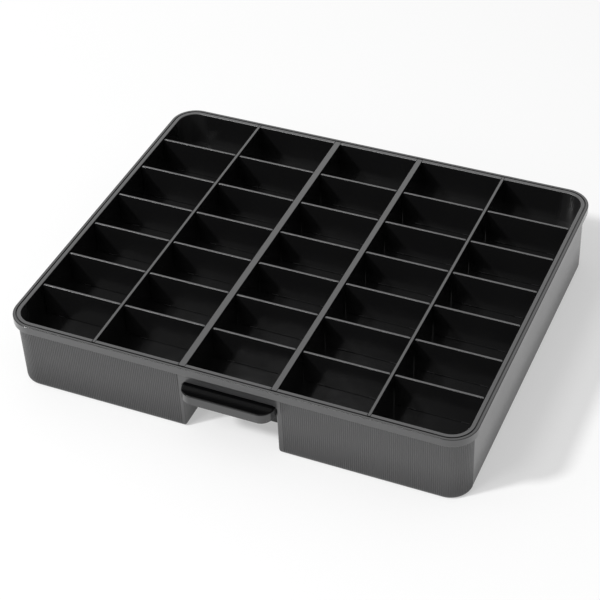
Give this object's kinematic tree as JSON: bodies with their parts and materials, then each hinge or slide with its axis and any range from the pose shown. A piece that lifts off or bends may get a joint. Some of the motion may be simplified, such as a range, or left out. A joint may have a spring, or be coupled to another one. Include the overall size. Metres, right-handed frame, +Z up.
{
  "type": "socket organizer drawer box",
  "caption": "Shallow rimmed drawer box of dark plastic, with lift-out long and cross dividers that make a grid of compartments, and a pull tab over a finger notch in the ribbed front.",
  "frame": {"origin": "centre of the bottom of the whole bounding box, pull tab included; the tray's own centre lies 3.5 mm behind it", "axes": "+X to the right for someone facing the front, +Y to the back, +Z up; the notch and the pull tab are at the front (-Y)"},
  "size_m": [0.321, 0.274, 0.0537],
  "materials": {
    "tray_plastic": "satin charcoal moulding, finely ribbed outside on the front, smooth and glossy inside",
    "tab_plastic": "glossy black moulding",
    "divider_plastic": "glossy black plates with satin top edges"
  },
  "bodies": {
    "tray": {"drawer_tray": "tray_plastic", "pull_handle": "tab_plastic"},
    "long_divider_1_body": {"long_divider_1": "divider_plastic"},
    "long_divider_2_body": {"long_divider_2": "divider_plastic"},
    "long_divider_3_body": {"long_divider_3": "divider_plastic"},
    "long_divider_4_body": {"long_divider_4": "divider_plastic"},
    "cross_divider_r1_c1_body": {"cross_divider_r1_c1": "divider_plastic"},
    "cross_divider_r1_c2_body": {"cross_divider_r1_c2": "divider_plastic"},
    "cross_divider_r1_c3_body": {"cross_divider_r1_c3": "divider_plastic"},
    "cross_divider_r1_c4_body": {"cross_divider_r1_c4": "divider_plastic"},
    "cross_divider_r1_c5_body": {"cross_divider_r1_c5": "divider_plastic"},
    "cross_divider_r2_c1_body": {"cross_divider_r2_c1": "divider_plastic"},
    "cross_divider_r2_c2_body": {"cross_divider_r2_c2": "divider_plastic"},
    "cross_divider_r2_c3_body": {"cross_divider_r2_c3": "divider_plastic"},
    "cross_divider_r2_c4_body": {"cross_divider_r2_c4": "divider_plastic"},
    "cross_divider_r2_c5_body": {"cross_divider_r2_c5": "divider_plastic"},
    "cross_divider_r3_c1_body": {"cross_divider_r3_c1": "divider_plastic"},
    "cross_divider_r3_c2_body": {"cross_divider_r3_c2": "divider_plastic"},
    "cross_divider_r3_c3_body": {"cross_divider_r3_c3": "divider_plastic"},
    "cross_divider_r3_c4_body": {"cross_divider_r3_c4": "divider_plastic"},
    "cross_divider_r3_c5_body": {"cross_divider_r3_c5": "divider_plastic"},
    "cross_divider_r4_c1_body": {"cross_divider_r4_c1": "divider_plastic"},
    "cross_divider_r4_c2_body": {"cross_divider_r4_c2": "divider_plastic"},
    "cross_divider_r4_c3_body": {"cross_divider_r4_c3": "divider_plastic"},
    "cross_divider_r4_c4_body": {"cross_divider_r4_c4": "divider_plastic"},
    "cross_divider_r4_c5_body": {"cross_divider_r4_c5": "divider_plastic"},
    "cross_divider_r5_c1_body": {"cross_divider_r5_c1": "divider_plastic"},
    "cross_divider_r5_c2_body": {"cross_divider_r5_c2": "divider_plastic"},
    "cross_divider_r5_c3_body": {"cross_divider_r5_c3": "divider_plastic"},
    "cross_divider_r5_c4_body": {"cross_divider_r5_c4": "divider_plastic"},
    "cross_divider_r5_c5_body": {"cross_divider_r5_c5": "divider_plastic"},
    "cross_divider_r6_c1_body": {"cross_divider_r6_c1": "divider_plastic"},
    "cross_divider_r6_c2_body": {"cross_divider_r6_c2": "divider_plastic"},
    "cross_divider_r6_c3_body": {"cross_divider_r6_c3": "divider_plastic"},
    "cross_divider_r6_c4_body": {"cross_divider_r6_c4": "divider_plastic"},
    "cross_divider_r6_c5_body": {"cross_divider_r6_c5": "divider_plastic"}
  },
  "joints": [
    {"name": "lift_long_divider_1", "type": "slide", "parent": "tray", "child": "long_divider_1_body", "axis": [0, 0, 1], "range_m": [0, 0.03]},
    {"name": "lift_long_divider_2", "type": "slide", "parent": "tray", "child": "long_divider_2_body", "axis": [0, 0, 1], "range_m": [0, 0.03]},
    {"name": "lift_long_divider_3", "type": "slide", "parent": "tray", "child": "long_divider_3_body", "axis": [0, 0, 1], "range_m": [0, 0.03]},
    {"name": "lift_long_divider_4", "type": "slide", "parent": "tray", "child": "long_divider_4_body", "axis": [0, 0, 1], "range_m": [0, 0.03]},
    {"name": "lift_cross_divider_r1_c1", "type": "slide", "parent": "tray", "child": "cross_divider_r1_c1_body", "axis": [0, 0, 1], "range_m": [0, 0.03]},
    {"name": "lift_cross_divider_r1_c2", "type": "slide", "parent": "tray", "child": "cross_divider_r1_c2_body", "axis": [0, 0, 1], "range_m": [0, 0.03]},
    {"name": "lift_cross_divider_r1_c3", "type": "slide", "parent": "tray", "child": "cross_divider_r1_c3_body", "axis": [0, 0, 1], "range_m": [0, 0.03]},
    {"name": "lift_cross_divider_r1_c4", "type": "slide", "parent": "tray", "child": "cross_divider_r1_c4_body", "axis": [0, 0, 1], "range_m": [0, 0.03]},
    {"name": "lift_cross_divider_r1_c5", "type": "slide", "parent": "tray", "child": "cross_divider_r1_c5_body", "axis": [0, 0, 1], "range_m": [0, 0.03]},
    {"name": "lift_cross_divider_r2_c1", "type": "slide", "parent": "tray", "child": "cross_divider_r2_c1_body", "axis": [0, 0, 1], "range_m": [0, 0.03]},
    {"name": "lift_cross_divider_r2_c2", "type": "slide", "parent": "tray", "child": "cross_divider_r2_c2_body", "axis": [0, 0, 1], "range_m": [0, 0.03]},
    {"name": "lift_cross_divider_r2_c3", "type": "slide", "parent": "tray", "child": "cross_divider_r2_c3_body", "axis": [0, 0, 1], "range_m": [0, 0.03]},
    {"name": "lift_cross_divider_r2_c4", "type": "slide", "parent": "tray", "child": "cross_divider_r2_c4_body", "axis": [0, 0, 1], "range_m": [0, 0.03]},
    {"name": "lift_cross_divider_r2_c5", "type": "slide", "parent": "tray", "child": "cross_divider_r2_c5_body", "axis": [0, 0, 1], "range_m": [0, 0.03]},
    {"name": "lift_cross_divider_r3_c1", "type": "slide", "parent": "tray", "child": "cross_divider_r3_c1_body", "axis": [0, 0, 1], "range_m": [0, 0.03]},
    {"name": "lift_cross_divider_r3_c2", "type": "slide", "parent": "tray", "child": "cross_divider_r3_c2_body", "axis": [0, 0, 1], "range_m": [0, 0.03]},
    {"name": "lift_cross_divider_r3_c3", "type": "slide", "parent": "tray", "child": "cross_divider_r3_c3_body", "axis": [0, 0, 1], "range_m": [0, 0.03]},
    {"name": "lift_cross_divider_r3_c4", "type": "slide", "parent": "tray", "child": "cross_divider_r3_c4_body", "axis": [0, 0, 1], "range_m": [0, 0.03]},
    {"name": "lift_cross_divider_r3_c5", "type": "slide", "parent": "tray", "child": "cross_divider_r3_c5_body", "axis": [0, 0, 1], "range_m": [0, 0.03]},
    {"name": "lift_cross_divider_r4_c1", "type": "slide", "parent": "tray", "child": "cross_divider_r4_c1_body", "axis": [0, 0, 1], "range_m": [0, 0.03]},
    {"name": "lift_cross_divider_r4_c2", "type": "slide", "parent": "tray", "child": "cross_divider_r4_c2_body", "axis": [0, 0, 1], "range_m": [0, 0.03]},
    {"name": "lift_cross_divider_r4_c3", "type": "slide", "parent": "tray", "child": "cross_divider_r4_c3_body", "axis": [0, 0, 1], "range_m": [0, 0.03]},
    {"name": "lift_cross_divider_r4_c4", "type": "slide", "parent": "tray", "child": "cross_divider_r4_c4_body", "axis": [0, 0, 1], "range_m": [0, 0.03]},
    {"name": "lift_cross_divider_r4_c5", "type": "slide", "parent": "tray", "child": "cross_divider_r4_c5_body", "axis": [0, 0, 1], "range_m": [0, 0.03]},
    {"name": "lift_cross_divider_r5_c1", "type": "slide", "parent": "tray", "child": "cross_divider_r5_c1_body", "axis": [0, 0, 1], "range_m": [0, 0.03]},
    {"name": "lift_cross_divider_r5_c2", "type": "slide", "parent": "tray", "child": "cross_divider_r5_c2_body", "axis": [0, 0, 1], "range_m": [0, 0.03]},
    {"name": "lift_cross_divider_r5_c3", "type": "slide", "parent": "tray", "child": "cross_divider_r5_c3_body", "axis": [0, 0, 1], "range_m": [0, 0.03]},
    {"name": "lift_cross_divider_r5_c4", "type": "slide", "parent": "tray", "child": "cross_divider_r5_c4_body", "axis": [0, 0, 1], "range_m": [0, 0.03]},
    {"name": "lift_cross_divider_r5_c5", "type": "slide", "parent": "tray", "child": "cross_divider_r5_c5_body", "axis": [0, 0, 1], "range_m": [0, 0.03]},
    {"name": "lift_cross_divider_r6_c1", "type": "slide", "parent": "tray", "child": "cross_divider_r6_c1_body", "axis": [0, 0, 1], "range_m": [0, 0.03]},
    {"name": "lift_cross_divider_r6_c2", "type": "slide", "parent": "tray", "child": "cross_divider_r6_c2_body", "axis": [0, 0, 1], "range_m": [0, 0.03]},
    {"name": "lift_cross_divider_r6_c3", "type": "slide", "parent": "tray", "child": "cross_divider_r6_c3_body", "axis": [0, 0, 1], "range_m": [0, 0.03]},
    {"name": "lift_cross_divider_r6_c4", "type": "slide", "parent": "tray", "child": "cross_divider_r6_c4_body", "axis": [0, 0, 1], "range_m": [0, 0.03]},
    {"name": "lift_cross_divider_r6_c5", "type": "slide", "parent": "tray", "child": "cross_divider_r6_c5_body", "axis": [0, 0, 1], "range_m": [0, 0.03]}
  ]
}
